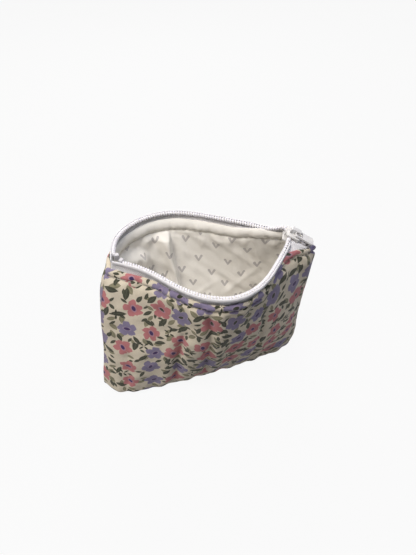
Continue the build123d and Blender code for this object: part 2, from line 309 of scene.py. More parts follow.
def base_section(outwards):
    """How a layer turns from the base into the wall."""
    inset = OUTER_FACE - outwards
    radius = BASE_ROUNDING - inset
    return [(inset + radius * (1 - math.cos(a)), outwards) for a in np.radians((0, 30, 60, 90))]


def panel(fold, side, section, columns):
    """A panel's points, from the bottom seam out to the base's edge, up the wall and over the top.

    Also how far each point is across the cloth, and its level: its height on the wall, and below
    zero on the base."""
    shares = np.linspace(0, 1, columns)
    first = wall_row(fold, side, section[0][0], section[0][1], shares)
    seam = first.copy()
    seam[:, 1] = 0
    rows = [seam + (first - seam) * step / FLOOR_ROWS for step in range(FLOOR_ROWS)]
    rows += [wall_row(fold, side, height, outwards, shares) for height, outwards in section]
    levels = [-BASE_WIDTH / 2 * (1 - step / FLOOR_ROWS) for step in range(FLOOR_ROWS)]
    levels += [height for height, outwards in section]
    grid = np.array(rows)
    level = np.repeat(np.array(levels)[:, None], columns, 1)
    across = np.repeat(shares[None, :] * POUCH_WIDTH, len(rows), 0)
    return grid, across, level


def out_of(grid, side):
    """Directions that point out of the cloth, at each point of a grid."""
    out = np.cross(np.gradient(grid, axis=1), np.gradient(grid, axis=0)) * -side
    return out / np.maximum(np.linalg.norm(out, axis=2), 1e-9)[:, :, None]


# How both walls are rumpled: lumps beside the seams, gathers over the base's edge, slow and fine
# waves on the walls, puckers under the fold and at it, and on the front some upright creases.
SEAM_LUMP = 1.1
GATHER_DEPTH = 0.34
SLOW_WAVE = 0.6
FINE_WAVE = 0.16
PUCKER_UNDER_FOLD = 0.42
PUCKER_AT_FOLD = 0.22
# Each front crease: its place across, its lowest and highest level, its slant and its depth.
FRONT_CREASES = (
    (40.0, 2, 56, 0.02, 1.7), (54.5, 6, 76, -0.03, 1.7),
    (15.0, 4, 40, 0.03, 0.6), (84.0, 14, 60, 0.06, 0.9),
)


def rumple(side, across, level):
    """How far the wall stands out from its smooth shape."""
    from_seam = np.minimum(across, POUCH_WIDTH - across)
    clear = ease(from_seam, 0, 7)
    below_fold = ease(level, 76, 71)
    on_wall = ease(level, 0, 12)
    out = SEAM_LUMP * bump(from_seam - 4.5, 3.5) * below_fold * ease(level, 3, 14)
    gathers = np.sin(across * 2 * math.pi / 13.5 + 1.1 * side)
    gathers += 0.7 * np.sin(across * 2 * math.pi / 7.7)
    out += GATHER_DEPTH * gathers * bump(level - 6, 9) * clear * ease(level, -6, 1)
    out += SLOW_WAVE * waves(across, level * 0.7, 30, 5 + side) * clear * below_fold * on_wall
    out += PUCKER_UNDER_FOLD * waves(across, level * 0.4, 8, 12 + side) * clear * bump(level - 71, 7)
    out += PUCKER_AT_FOLD * waves(across, level * 0.2, 5, 77 + side) * clear * bump(level - 77.5, 2)
    out += FINE_WAVE * waves(across, level, 8, 31 + side) * clear * below_fold * on_wall
    if side < 0:
        for middle, low, high, tilt, depth in FRONT_CREASES:
            strip = ease(level, low, low + 12) * ease(level, high + 2, high - 8)
            off = across - middle - tilt * (level - 40) - 0.5 * np.sin(level / 7)
            valley = 0.7 * (bump(off - 5, 3.4) + bump(off + 5, 3.4)) - bump(off, 1.7)
            out += depth * valley * strip
    return out


LEFT_BOW = 5.2
RIGHT_BOW = 4.1
FOLD_CLIMB = 3.8
CORNER_RISE = 1.6
CORNER_SHIFT = 1.2           # of the left bottom corner, to the right
LEFT_FORWARD = 1.0           # of the left side seam's bow
RIGHT_BACK = 0.6             # of the right one's
CLIMB_INWARDS = 1.9
FRONT_TUCK = 1.5
FOOT_FORWARD = 2.0
END_DIP = 1.0


def fuller_ends(grid, side, across, level):
    """The side seams bow out, the left bottom corner is rounded, and the fold climbs to the slider."""
    left = bump(level - 60, 26) * ease(across, 26, 0)
    right = bump(level - 66, 24) * ease(across, POUCH_WIDTH - 22, POUCH_WIDTH)
    climb = ease(level, 56, 79) * ease(across, 80, 98) * (1 - 0.7 * ease(across, 108, 118))
    tuck = ease(level, 60, 79) * bump(across - 105, 6) * (side < 0)
    foot = bump(across - 8, 7) * ease(level, 26, 4) * ease(level, -9, 1) * (side < 0)
    rounded = bump(across, 5) * ease(level, 15, 0)
    moved = grid.copy()
    moved[:, :, 0] += RIGHT_BOW * right - LEFT_BOW * left + CORNER_SHIFT * rounded
    drawn_in = CLIMB_INWARDS * side * climb * ease(across, 112, 100)
    moved[:, :, 1] += (
        RIGHT_BACK * right - LEFT_FORWARD * left - drawn_in + FRONT_TUCK * tuck - FOOT_FORWARD * foot
    )
    dip = END_DIP * ease(level, 60, 79) * ease(across, 115, 120)
    moved[:, :, 2] += FOLD_CLIMB * climb + CORNER_RISE * rounded - dip
    return moved


def lengths_up(grid):
    """Distance of each row from the first, measured along the cloth."""
    steps = np.linalg.norm(np.diff(grid, axis=0), axis=2).mean(1)
    return np.repeat(np.concatenate([[0.0], np.cumsum(steps)])[:, None], grid.shape[1], 1)


def sheet_mesh(name, grid, flat_across, flat_up, thickness, side):
    """A layer of cloth as a closed mesh, with its flat pattern as UV map, 100 mm to the unit."""
    rows, columns = grid.shape[:2]
    corner = np.arange(rows * columns).reshape(rows, columns)[:-1, :-1].ravel()
    faces = np.stack([corner, corner + 1, corner + columns + 1, corner + columns], 1)
    if side > 0:
        faces = faces[:, ::-1]
    mesh = bpy.data.meshes.new(name)
    mesh.from_pydata((grid * MM).reshape(-1, 3).tolist(), [], faces.tolist())
    flat = np.stack([flat_across, flat_up], 2).reshape(-1, 2) / 100
    layer = mesh.uv_layers.new(name="cloth")
    layer.uv.foreach_set("vector", flat[faces.ravel()].astype(np.float32).ravel())
    piece = bpy.data.objects.new(name, mesh)
    bpy.context.scene.collection.objects.link(piece)
    bpy.context.view_layer.objects.active = piece
    wall = piece.modifiers.new("thickness", "SOLIDIFY")
    wall.thickness = thickness * MM
    wall.offset = 0
    piece.select_set(True)
    bpy.ops.object.modifier_apply(modifier="thickness")
    bpy.ops.object.shade_smooth()
    piece.select_set(False)
    return piece


def soft_step(tree, value, low, high):
    """0 below low, 1 above high, and smooth between."""
    made = node(tree, "MapRange", Value=value)
    made.interpolation_type = "SMOOTHSTEP"
    made.inputs["From Min"].default_value = low
    made.inputs["From Max"].default_value = high
    return made.outputs["Result"]


def layered(tree, share, under, over):
    """One colour printed over another."""
    made = tree.nodes.new("ShaderNodeMix")
    made.data_type = "RGBA"
    join(tree, share, made.inputs["Factor"])
    join(tree, under, made.inputs["A"])
    join(tree, over, made.inputs["B"])
    return made.outputs["Result"]


def vector_calc(tree, operation, first, second):
    """The result of a Vector Math node."""
    made = node(tree, "VectorMath", in_0=first, in_1=second)
    made.operation = operation
    return made.outputs[0]


def flat_place(tree):
    """Place on the flat cloth, in millimetres."""
    uv = tree.nodes.new("ShaderNodeUVMap")
    uv.uv_map = "cloth"
    return vector_calc(tree, "MULTIPLY", uv.outputs[0], (100, 100, 0))


def parts_of(tree, vector):
    """The three numbers of a vector."""
    return node(tree, "SeparateXYZ", Vector=vector).outputs


def scattered(tree, place, pitch, shift, looseness):
    """One motif to a cell: place from the motif's middle, that middle, three random numbers."""
    shifted = vector_calc(tree, "ADD", place, shift)
    spread = vector_calc(tree, "MULTIPLY", shifted, (1 / pitch, 1 / pitch, 0))
    cells = node(tree, "TexVoronoi", Vector=spread, Scale=1, Randomness=looseness)
    cells.voronoi_dimensions = "2D"
    offset = vector_calc(tree, "SUBTRACT", spread, cells.outputs["Position"])
    local = vector_calc(tree, "MULTIPLY", offset, (pitch, pitch, 0))
    middle = vector_calc(tree, "SUBTRACT", place, local)
    lots = node(tree, "SeparateColor", Color=cells.outputs["Color"]).outputs
    return local, middle, lots


def long_of(tree, vector):
    """Length of a vector."""
    made = node(tree, "VectorMath", in_0=vector)
    made.operation = "LENGTH"
    return made.outputs["Value"]


def turned(tree, local, angle):
    """x and y of a place, in axes turned by an angle."""
    x, y = parts_of(tree, local)[:2]
    cosine = calc(tree, "COSINE", angle)
    sine = calc(tree, "SINE", angle)
    along = plus(tree, times(tree, x, cosine), times(tree, y, sine))
    across = minus(tree, times(tree, y, cosine), times(tree, x, sine))
    return along, across


def angle_round(tree, local, lot):
    """Angle of a place seen from its motif's middle, from a random start."""
    x, y = parts_of(tree, local)[:2]
    return plus(tree, calc(tree, "ARCTAN2", y, x), times(tree, lot, 2 * math.pi))


def leaf(tree, local, lots, length, width):
    """Share of ink of a pointed leaf, and of the pale rib down its middle."""
    along, across = turned(tree, local, times(tree, lots[0], 2 * math.pi))
    size = scaled(tree, lots[1], 0.4, 0.75)
    along = calc(tree, "DIVIDE", along, times(tree, size, length / 2))
    across = calc(tree, "ABSOLUTE", calc(tree, "DIVIDE", across, size))
    bow = minus(tree, 1, times(tree, along, along))
    inside = minus(tree, times(tree, bow, width / 2), across)
    rib = minus(tree, 1, soft_step(tree, across, 0.05, 0.28))
    return soft_step(tree, inside, -0.05, 0.12), times(tree, rib, soft_step(tree, bow, 0.1, 0.6))


def sprig(tree, local, lots, leaves, reach, length, width):
    """Share of ink of some narrow leaves that spread from one point."""
    angle = angle_round(tree, local, lots[0])
    sector = 2 * math.pi / leaves
    folded = minus(tree, calc(tree, "FLOORED_MODULO", angle, sector), sector / 2)
    radius = long_of(tree, local)
    along = times(tree, radius, calc(tree, "COSINE", folded))
    along = calc(tree, "DIVIDE", minus(tree, along, reach), length)
    across = calc(tree, "ABSOLUTE", times(tree, radius, calc(tree, "SINE", folded)))
    bow = minus(tree, 1, times(tree, along, along))
    return soft_step(tree, minus(tree, times(tree, bow, width), across), -0.05, 0.12)


PETALS = 5
EYE_LENGTH = 1.35
EYE_WIDTH = 0.8


def flower(tree, place, local, lots, reach):
    """Share of ink of a flower, how far out on it, and how far from the middle of its oval eye."""
    angle = angle_round(tree, local, lots[0])
    radius = long_of(tree, local)
    lobes = calc(tree, "ABSOLUTE", calc(tree, "COSINE", times(tree, angle, PETALS / 2)))
    lobes = calc(tree, "POWER", lobes, 0.5)
    uneven = node(tree, "TexNoise", Vector=place, Scale=0.3, Detail=1)
    uneven.noise_dimensions = "2D"
    wobble = scaled(tree, uneven.outputs["Fac"], 2.6, -1.3)
    size = times(tree, scaled(tree, lots[1], 0.3, 0.85), reach)
    edge = times(tree, size, scaled(tree, lobes, 0.40, 0.60))
    edge = plus(tree, edge, wobble)
    ink = minus(tree, 1, soft_step(tree, minus(tree, radius, edge), -0.14, 0.1))
    along, across = turned(tree, local, times(tree, lots[2], 3.0))
    along = calc(tree, "DIVIDE", along, EYE_LENGTH)
    across = calc(tree, "DIVIDE", across, EYE_WIDTH)
    from_eye = long_of(tree, node(tree, "CombineXYZ", X=along, Y=across).outputs[0])
    return ink, calc(tree, "DIVIDE", radius, size), from_eye


def ripple(tree, value, pitch):
    """A wave between -1 and 1 that comes round once in each pitch."""
    return calc(tree, "SINE", times(tree, value, 2 * math.pi / pitch))


def add_relief(tree, shader, height, strength, distance):
    """Fine relief on a surface, from a height and the depth in millimetres that it stands for."""
    made = node(tree, "Bump", Strength=strength, Distance=distance * MM, Height=height)
    join(tree, made.outputs[0], shader.inputs["Normal"])


def object_place(tree):
    """Place on the piece itself, in metres."""
    return node(tree, "TexCoord").outputs["Object"]


def mottle(tree, shader, pattern, shade, pale, least_roughness=None, spread=0.0):
    """A surface's tone, and its roughness if a least one is given, from a fine pattern."""
    share = pattern.outputs["Fac"]
    join(tree, layered(tree, share, shade, pale), shader.inputs["Base Color"])
    if least_roughness is not None:
        join(tree, scaled(tree, share, spread, least_roughness), shader.inputs["Roughness"])


def weave(tree, shader, place, thread, strength, distance):
    """Plain weave: threads that pass over and under each other, as fine relief."""
    x, y = parts_of(tree, place)[:2]
    warp = ripple(tree, x, 2 * thread)
    weft = ripple(tree, y, 2 * thread)
    fuzz = node(tree, "TexNoise", Vector=place, Scale=1.5, Detail=6)
    crossing = times(tree, times(tree, warp, weft), 0.35)
    relief = scaled(tree, fuzz.outputs["Fac"], 1.2, crossing)
    add_relief(tree, shader, relief, strength, distance)
    return relief


CREAM = (0.72, 0.65, 0.53, 1)
CREAM_SHADE = (0.65, 0.58, 0.465, 1)
PINK = (0.52, 0.20, 0.21, 1)
PINK_DEEP = (0.42, 0.14, 0.155, 1)
LAVENDER = (0.25, 0.218, 0.34, 1)
LAVENDER_DEEP = (0.18, 0.15, 0.265, 1)
PLUM = (0.055, 0.03, 0.11, 1)
RING = (0.42, 0.33, 0.44, 1)
BOTTLE_GREEN = (0.036, 0.039, 0.026, 1)
BOTTLE_RIB = (0.11, 0.113, 0.08, 1)
SAGE = (0.21, 0.195, 0.125, 1)
SAGE_PALE = (0.33, 0.31, 0.21, 1)
# Painted shade for the hollows of the outer cloth's weave.
WEAVE_HOLLOW_SHADE = (0.04, 0.03, 0.02, 1)
FLOWER_PITCH = 13.2
FLOWER_LOOSENESS = 0.42
FLOWER_SHIFT = (16.2, 7.5, 0)
FLOWER_REACH = 5.0
LAVENDER_SHARE = 0.45        # of the flowers; the others are pink
LEAF_LOOSENESS = 0.55
OUTER_THREAD = 0.34
FOLD_WAVER = 0.32

printed_cotton, tree, shader = new_finish(
    "printed_cotton", Roughness=0.85, Sheen_Weight=0.12, Sheen_Roughness=0.5, Specular_IOR_Level=0.25
)
place = flat_place(tree)
blotch = node(tree, "TexNoise", Vector=place, Scale=0.7, Detail=5)
colour = layered(tree, blotch.outputs["Fac"], CREAM_SHADE, CREAM)


def clear_of_flowers(tree, middle, room):
    """1 where a leaf's middle leaves enough room to the nearest flower's."""
    local = scattered(tree, middle, FLOWER_PITCH, FLOWER_SHIFT, FLOWER_LOOSENESS)[0]
    return soft_step(tree, long_of(tree, local), room, room + 0.02)


def add_leaves(tree, colour, pitch, shift, length, width, tones, left_out, room):
    """Leaves printed over a colour, where there is room between the flowers."""
    local, middle, lots = scattered(tree, place, pitch, shift, LEAF_LOOSENESS)
    ink, rib = leaf(tree, local, lots, length, width)
    chosen = soft_step(tree, lots[2], left_out, left_out + 0.01)
    shown = times(tree, clear_of_flowers(tree, middle, room), chosen)
    paleness = times(tree, plus(tree, rib, blotch.outputs["Fac"]), 0.5)
    tone = layered(tree, paleness, tones[0], tones[1])
    return layered(tree, times(tree, ink, shown), colour, tone)


colour = add_leaves(
    tree, colour, pitch=5.6, shift=(1.3, 4.1, 0), length=5.2, width=2.4,
    tones=(SAGE, SAGE_PALE), left_out=0.12, room=5.2,
)
colour = add_leaves(
    tree, colour, pitch=6.2, shift=(9.7, 2.6, 0), length=6.8, width=2.7,
    tones=(BOTTLE_GREEN, BOTTLE_RIB), left_out=0.08, room=5.7,
)
colour = add_leaves(
    tree, colour, pitch=4.6, shift=(17.9, 12.6, 0), length=3.8, width=1.6,
    tones=(BOTTLE_GREEN, BOTTLE_RIB), left_out=0.25, room=5.0,
)
local, middle, lots = scattered(tree, place, pitch=12.5, shift=(5.5, 1.9, 0), looseness=0.7)
chosen = soft_step(tree, lots[2], 0.2, 0.21)
shown = times(tree, clear_of_flowers(tree, middle, 6.4), chosen)
ink = sprig(tree, local, lots, leaves=4, reach=1.7, length=1.5, width=0.5)
colour = layered(tree, times(tree, ink, shown), colour, BOTTLE_GREEN)
local, _, lots = scattered(tree, place, FLOWER_PITCH, FLOWER_SHIFT, FLOWER_LOOSENESS)
ink, outness, from_eye = flower(tree, place, local, lots, FLOWER_REACH)
pink_share = soft_step(tree, lots[2], LAVENDER_SHARE, LAVENDER_SHARE + 0.01)
petal = layered(tree, pink_share, LAVENDER, PINK)
petal_deep = layered(tree, pink_share, LAVENDER_DEEP, PINK_DEEP)
patchy = times(tree, blotch.outputs["Fac"], soft_step(tree, outness, 1.0, 0.1))
petal = layered(tree, patchy, petal, petal_deep)
eye_colour = layered(tree, soft_step(tree, lots[1], 0.7, 0.71), PLUM, BOTTLE_GREEN)
ring = times(tree, soft_step(tree, from_eye, 1.75, 1.45), 0.5)
petal = layered(tree, ring, petal, RING)
petal = layered(tree, soft_step(tree, from_eye, 1.2, 0.95), petal, eye_colour)
colour = layered(tree, ink, colour, petal)
relief = weave(tree, shader, place, OUTER_THREAD, strength=0.4, distance=0.12)
# The weave's low parts are painted darker: painted shade in the hollows between the threads.
painted_hollow_shade = times(tree, soft_step(tree, relief, 0.8, 0.3), 0.14)
join(tree, layered(tree, painted_hollow_shade, colour, WEAVE_HOLLOW_SHADE), shader.inputs["Base Color"])

OUTER_SECTION = base_section(0.55) + [
    (20, 0.6), (45, 0.6), (62, 0.7), (69, 1.0), (72.4, 1.35), (74.4, 1.3), (75.4, 0.65), (75.8, 0.38),
    (76.2, 0.6), (76.7, 1.25), (77.6, 1.65), (78.6, 1.5), (79.2, 1.05), (79.4, 0.65), (79.2, 0.46),
    (78.2, 0.42), (74.0, 0.42),
]
for side_name, side, fold in SIDES:
    grid, across, level = panel(fold, side, section_line(OUTER_SECTION), OUTER_COLUMNS)
    up = lengths_up(grid)
    grid = grid + out_of(grid, side) * rumple(side, across, level)[:, :, None]
    grid = fuller_ends(grid, side, across, level)
    grid[:, :, 2] += FOLD_WAVER * waves(across, across * 0, 9, 90 + side) * ease(level, 76.2, 79)
    grid[:, :, 2] = np.maximum(grid[:, :, 2], OUTER_LOWEST)
    cut_at = across + BACK_SHIFT * (side > 0)
    outer = sheet_mesh(side_name + "_outer_cloth", grid, cut_at, up, OUTER_THICKNESS, side)
    outer.data.materials.append(printed_cotton)
    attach(outer, "pouch")
    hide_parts(side_name + "_outer")

# Fleece. A soft white wadding stands between the outer cloth and the lining in each wall, and
# stops below the zip tapes. It gives the pouch its body.
FLEECE_SHADE = (0.66, 0.65, 0.62, 1)
FLEECE_WHITE = (0.84, 0.83, 0.80, 1)
FLEECE_THICKNESS = 0.55
FLEECE_LOWEST = 0.75
FLEECE_COLUMNS = 130

fleece, tree, shader = new_finish("white_fleece", Roughness=1.0, Sheen_Weight=0.2)
fibres = node(tree, "TexNoise", Vector=flat_place(tree), Scale=2.2, Detail=7, Distortion=1.5)
mottle(tree, shader, fibres, FLEECE_SHADE, FLEECE_WHITE)
add_relief(tree, shader, fibres.outputs["Fac"], strength=0.7, distance=0.3)

FLEECE_SECTION = base_section(-0.15) + [(20, -0.15), (45, -0.15), (62, -0.15), (70.6, -0.15)]
for side_name, side, fold in SIDES:
    grid, across, level = panel(fold, side, section_line(FLEECE_SECTION), FLEECE_COLUMNS)
    up = lengths_up(grid)
    grid = grid + out_of(grid, side) * rumple(side, across, level)[:, :, None]
    grid = fuller_ends(grid, side, across, level)
    grid[:, :, 2] = np.maximum(grid[:, :, 2], FLEECE_LOWEST)
    wadding = sheet_mesh(side_name + "_fleece", grid, across, up, FLEECE_THICKNESS, side)
    wadding.data.materials.append(fleece)
    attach(wadding, "pouch")
    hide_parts(side_name + "_interfacing")

# Lining. Two panels of white cotton with a small grey mark printed all over. At the top each is
# rolled over and stitched down beside the zip; inside, it is cut full, so it creases, and at the
# left end it hangs loose in one big fold.
LINING_SECTION = base_section(-0.95) + [
    (20, -0.95), (45, -0.95), (66, -0.95), (72.0, -1.15), (73.5, -1.1), (74.1, -0.8), (74.5, -0.72),
    (74.9, -1.0), (76.0, -1.7), (77.6, -1.95), (79.0, -1.6), (79.9, -1.1), (80.2, -0.75),
    (79.9, -0.5), (78.5, -0.42), (74.0, -0.42),
]
LINING_THICKNESS = 0.25
LINING_LOWEST = 1.45
LINING_COLUMNS = 240
LINING_SHIFT = 3.0           # where the lining's panels are cut from their cloth
# The loose fold: its edge and the crease beside it, as level and share across, and its ridge, as
# place across and level.
LOOSE_EDGE = ((20, 0.395), (50, 0.375), (60, 0.342), (66, 0.308), (73, 0.275))
LOOSE_CREASE = ((20, 0.45), (40, 0.435), (51, 0.42), (58, 0.405), (65, 0.395), (74, 0.385))
LOOSE_RIDGE = ((0, 70), (18, 69.5), (24, 68), (30, 65), (36, 60), (120, 60))
LOOSE_DEPTH = 5.5
CREASE_DEPTH = 4.3
BROAD_FOLD = 0.36
FINE_FOLD = 0.22
ROLL_PUCKER = 0.26
ROLL_DIP = 1.6               # of the roll's top, towards the slider
FRONT_ROLL_DIP = 3.4         # of the front one's, as well
LUMP_FOLLOWED = 0.3          # how far the lining follows the wall outwards
HELD_LEVEL = 74
# Each slanting crease on the back: its place across, its lowest and highest level and its slant.
BACK_CREASES = ((88, 30, 58, -0.9), (76, 22, 46, -1.3), (100, 34, 66, 0.6))
BACK_CREASE_DEPTH = 0.45


def line_at(level, line):
    """Place across the cloth of a line drawn up the lining."""
    heights, shares = zip(*line)
    return np.interp(level, heights, shares) * POUCH_WIDTH


def lining_folds(side, across, level):
    """How far the lining stands in from the wall."""
    on_wall = ease(level, 2, 12) * ease(level, 73.6, 70)
    clear = ease(np.minimum(across, POUCH_WIDTH - across), 0, 9)
    broad = waves(across * 0.8 + level * 0.6, level - across * 0.35, 21, 40 + side)
    into = BROAD_FOLD * ease(broad, -1.5, 1.5)
    into += FINE_FOLD * (1 + waves(across + level, level * 0.5, 10, 44 + side))
    into = into * on_wall * clear
    puckers = 1 + waves(across, level * 0.3, 5.5, 48 + side)
    into += ROLL_PUCKER * puckers * bump(level - 75.5, 3.5) * clear
    if side > 0:
        edge = line_at(level, LOOSE_EDGE)
        ridge = np.interp(across, *zip(*LOOSE_RIDGE))
        under_ridge = 1 - 0.85 * ease(level, ridge - 1, ridge - 17)
        loose = ease(level, np.minimum(ridge + 4, 73.4), ridge - 0.5) * under_ridge
        into += LOOSE_DEPTH * loose * ease(across, 2, 12) * ease(across, 37, 30)
        crease = line_at(level, LOOSE_CREASE)
        rise = ease(across, edge + 1, crease - 1) * ease(across, crease + 1.2, crease - 0.4)
        into += CREASE_DEPTH * rise * ease(level, 74.2, 70) * ease(level, 18, 36)
        for at, low, high, tilt in BACK_CREASES:
            off = across - at + tilt * (level - 45)
            strip = ease(level, low, low + 8) * ease(level, high, high - 8)
            into += BACK_CREASE_DEPTH * bump(off, 2.2) * strip
    return into


GREY_MARK = (0.50, 0.475, 0.47, 1)
LINING_WHITE = (0.86, 0.835, 0.79, 1)
LINING_SHADE = (0.79, 0.765, 0.72, 1)
MARK_PITCH = 12.0
MARK_SLANT = math.radians(38)
ARM = (math.sin(math.radians(28)), math.cos(math.radians(28)))
ARM_LENGTH = 3.3
ARM_DROP = 1.6
LINING_THREAD = 0.3

lining_cotton, tree, shader = new_finish(
    "lining_cotton", Roughness=0.8, Sheen_Weight=0.1, Specular_IOR_Level=0.25
)
place = flat_place(tree)
blotch = node(tree, "TexNoise", Vector=place, Scale=0.8, Detail=5)
colour = layered(tree, blotch.outputs["Fac"], LINING_SHADE, LINING_WHITE)
turned_x, turned_y = turned(tree, place, MARK_SLANT)
slanted = node(tree, "CombineXYZ", X=turned_x, Y=turned_y).outputs[0]
local = scattered(tree, slanted, MARK_PITCH, (4.0, 1.0, 0.0), 0.22)[0]
x, y = turned(tree, local, -MARK_SLANT)
rise = plus(tree, y, ARM_DROP)
half = calc(tree, "ABSOLUTE", x)
along_arm = times(tree, half, ARM[0])
along_arm = plus(tree, along_arm, times(tree, rise, ARM[1]))
along_arm = calc(tree, "MINIMUM", calc(tree, "MAXIMUM", along_arm, 0.0), ARM_LENGTH)
off_x = scaled(tree, along_arm, -ARM[0], half)
off_y = scaled(tree, along_arm, -ARM[1], rise)
off_arm = long_of(tree, node(tree, "CombineXYZ", X=off_x, Y=off_y).outputs[0])
brush = scaled(tree, along_arm, 0.07, 0.46)
ink = soft_step(tree, minus(tree, off_arm, brush), 0.12, -0.08)
up = parts_of(tree, place)[1]
ink = times(tree, ink, soft_step(tree, up, 82.6, 82.2))
ink = times(tree, ink, soft_step(tree, minus(tree, up, y), 3.0, 3.1))
join(tree, layered(tree, ink, colour, GREY_MARK), shader.inputs["Base Color"])
weave(tree, shader, place, LINING_THREAD, strength=0.35, distance=0.1)

for side_name, side, fold in SIDES:
    grid, across, level = panel(fold, side, section_line(LINING_SECTION), LINING_COLUMNS)
    up = lengths_up(grid)
    grid[:, :, 2] -= ROLL_DIP * ease(across, 92, 108) * ease(level, 75.5, 80)
    grid = fuller_ends(grid, side, across, level)
    if side < 0:
        grid[:, :, 2] -= FRONT_ROLL_DIP * ease(across, 76, 94) * ease(level, 75.5, 80)
    inwards = -out_of(grid, side)
    with_wall = np.minimum(rumple(side, across, level), LUMP_FOLLOWED) * ease(level, 76, 71)
    moved = lining_folds(side, across, level) - with_wall
    grid = grid + inwards * moved[:, :, None]
    grid[:, :, 2] = np.maximum(grid[:, :, 2], LINING_LOWEST)
    steps_up = np.linalg.norm(np.diff(grid, axis=0), axis=2)
    along = np.concatenate([up[:1] * 0, np.cumsum(steps_up, axis=0)])
    # Below the level where it is held by its roll, the print follows each column's own length.
    held = np.argmax(level[:, 0] > HELD_LEVEL)
    up = np.where(level < HELD_LEVEL, up[held] + along - along[held], up)
    cut_at = across + LINING_SHIFT
    lining = sheet_mesh(side_name + "_lining_cloth", grid, cut_at, up, LINING_THICKNESS, side)
    lining.data.materials.append(lining_cotton)
    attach(lining, "pouch")
    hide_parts(side_name + "_lining")

# Zip tapes. Woven polyester, one for each coil, twilled in a herringbone below a smooth folded edge
# that wraps the coil. Each leans up from the fold to its coil, goes through the slider's slot and
# turns down to the corner. Its lowest rows lie close inside the outer cloth and its creases.
COIL_LEVEL = 83.4
TAPE_BOTTOM = 71.0
TAPE_LENGTH = 113.0
TAPE_THICKNESS = 0.36
TAPE_SINK = 0.16             # how far the low rows keep inside the wall's middle line
SLIDER_MIDDLE = np.array((44.4, -0.24, 85.5))
HEADING = math.radians(-27.0)
DROP = math.radians(28.0)
ALONG_CHAIN = np.array((
    math.cos(HEADING) * math.cos(DROP), math.sin(HEADING) * math.cos(DROP), -math.sin(DROP)
))
ACROSS_CHAIN = np.array((-math.sin(HEADING), math.cos(HEADING), 0.0))
OFF_CHAIN = np.cross(ALONG_CHAIN, ACROSS_CHAIN)
LANE = 1.05
LANE_START = 1.0
LANE_END = 5.7
TAPE_BEND = 3.75


def on_slider(forward, sideways, up=0.0):
    """World point given in the slider's own axes."""
    return SLIDER_MIDDLE + ALONG_CHAIN * forward + ACROSS_CHAIN * sideways + OFF_CHAIN * up


# The last of each coil's way up to the slider, and in between its plates.
RISES = {
    -1: [(29.6, -15.2, 83.4), (33.5, -11.5, 83.6), (37.4, -7.9, 84.4)],
    1: [(31.6, 14.6, 83.4), (37.2, 9.9, 83.8), (41.0, 7.3, 85.3)],
}
MOUTHS = {
    -1: [(-1.3, -4.9, -0.2), (-1.1, -3.1, 0.0), (-0.2, -1.6, 0.0)],
    1: [(-3.3, 3.4, 0.0), (-1.2, 2.0, 0.0)],
}


def coil_line(fold, side, count):
    """Evenly spaced points of a coil's middle line, from the left seam to the end, and its length."""
    rim = [(x * POUCH_WIDTH, y * POUCH_WIDTH, COIL_LEVEL) for x, y in fold[:6]]
    route = rim + RISES[side] + [on_slider(*place) for place in MOUTHS[side]]
    lane = np.linspace(LANE_START, LANE_END, 4)
    route += [on_slider(forward, side * LANE) for forward in lane]
    line = spline_through(route, np.linspace(0, 1, 3000))
    at = run_along(line)
    return read_at(np.linspace(0, at[-1], count), at, line), at[-1]


def headings(line):
    """Unit directions along a line."""
    steps = np.gradient(line, axis=0)
    return steps / np.linalg.norm(steps, axis=1)[:, None]


def in_slider_axes(points):
    """Forward, sideways and up of some points, in the slider's own axes."""
    return (points - SLIDER_MIDDLE) @ np.stack([ALONG_CHAIN, ACROSS_CHAIN, OFF_CHAIN], 1)


COIL_STEPS = 420
TAIL_STEPS = 15
TAPE_LOW_ROWS = 12
TAPE_SLOPE_ROWS = 22
GROOVE_DEPTH = 0.14
GROOVE_PLACE = 2.6
SLOPE_WAVER = 0.12
HANG = 0.45                  # from the coil's middle down to where the slope starts
CORNER_END = (3.2, 0.6, 1.6)
# The tape's folded edge, which wraps the outer half of the coil: out from its middle, and up.
FOLDED_EDGE = ((0.98, 0.76), (1.24, 0.46), (1.38, 0.06), (1.40, -0.38), (1.28, -0.82), (1.02, -1.30))
# The tape's pale tone, and painted shade for the hollows of its weave.
TAPE_WHITE = (0.84, 0.83, 0.86, 1)
TAPE_HOLLOW_SHADE = (0.60, 0.585, 0.61, 1)
TWILL_START = 2.5

zip_tape_weave, tree, shader = new_finish("zip_tape_weave", Roughness=0.7, Sheen_Weight=0.1)
place = flat_place(tree)
run, from_coil = parts_of(tree, place)[:2]
zigzag = calc(tree, "PINGPONG", from_coil, 0.8)
rib = ripple(tree, plus(tree, run, times(tree, zigzag, 1.1)), 0.9)
ribbed_thread = times(tree, rib, ripple(tree, from_coil, 0.31))
twill = scaled(tree, ribbed_thread, 0.25, times(tree, rib, 0.75))
on_twill = soft_step(tree, from_coil, TWILL_START, TWILL_START + 0.2)
off_twill = minus(tree, 1, on_twill)
cords = times(tree, ripple(tree, from_coil, 0.42), 0.25)
plain = scaled(tree, ripple(tree, run, 0.5), 0.2, cords)
relief = times(tree, twill, on_twill)
relief = plus(tree, relief, times(tree, plain, off_twill))
fuzz = node(tree, "TexNoise", Vector=place, Scale=3.0, Detail=5)
relief = scaled(tree, fuzz.outputs["Fac"], 0.6, relief)
# Darker where the weave is low: painted shade in the hollows of the twill and cords, over the tape's
# pale tone.
tone = layered(tree, soft_step(tree, relief, -0.75, 0.75), TAPE_HOLLOW_SHADE, TAPE_WHITE)
join(tree, tone, shader.inputs["Base Color"])
add_relief(tree, shader, relief, strength=0.8, distance=0.16)

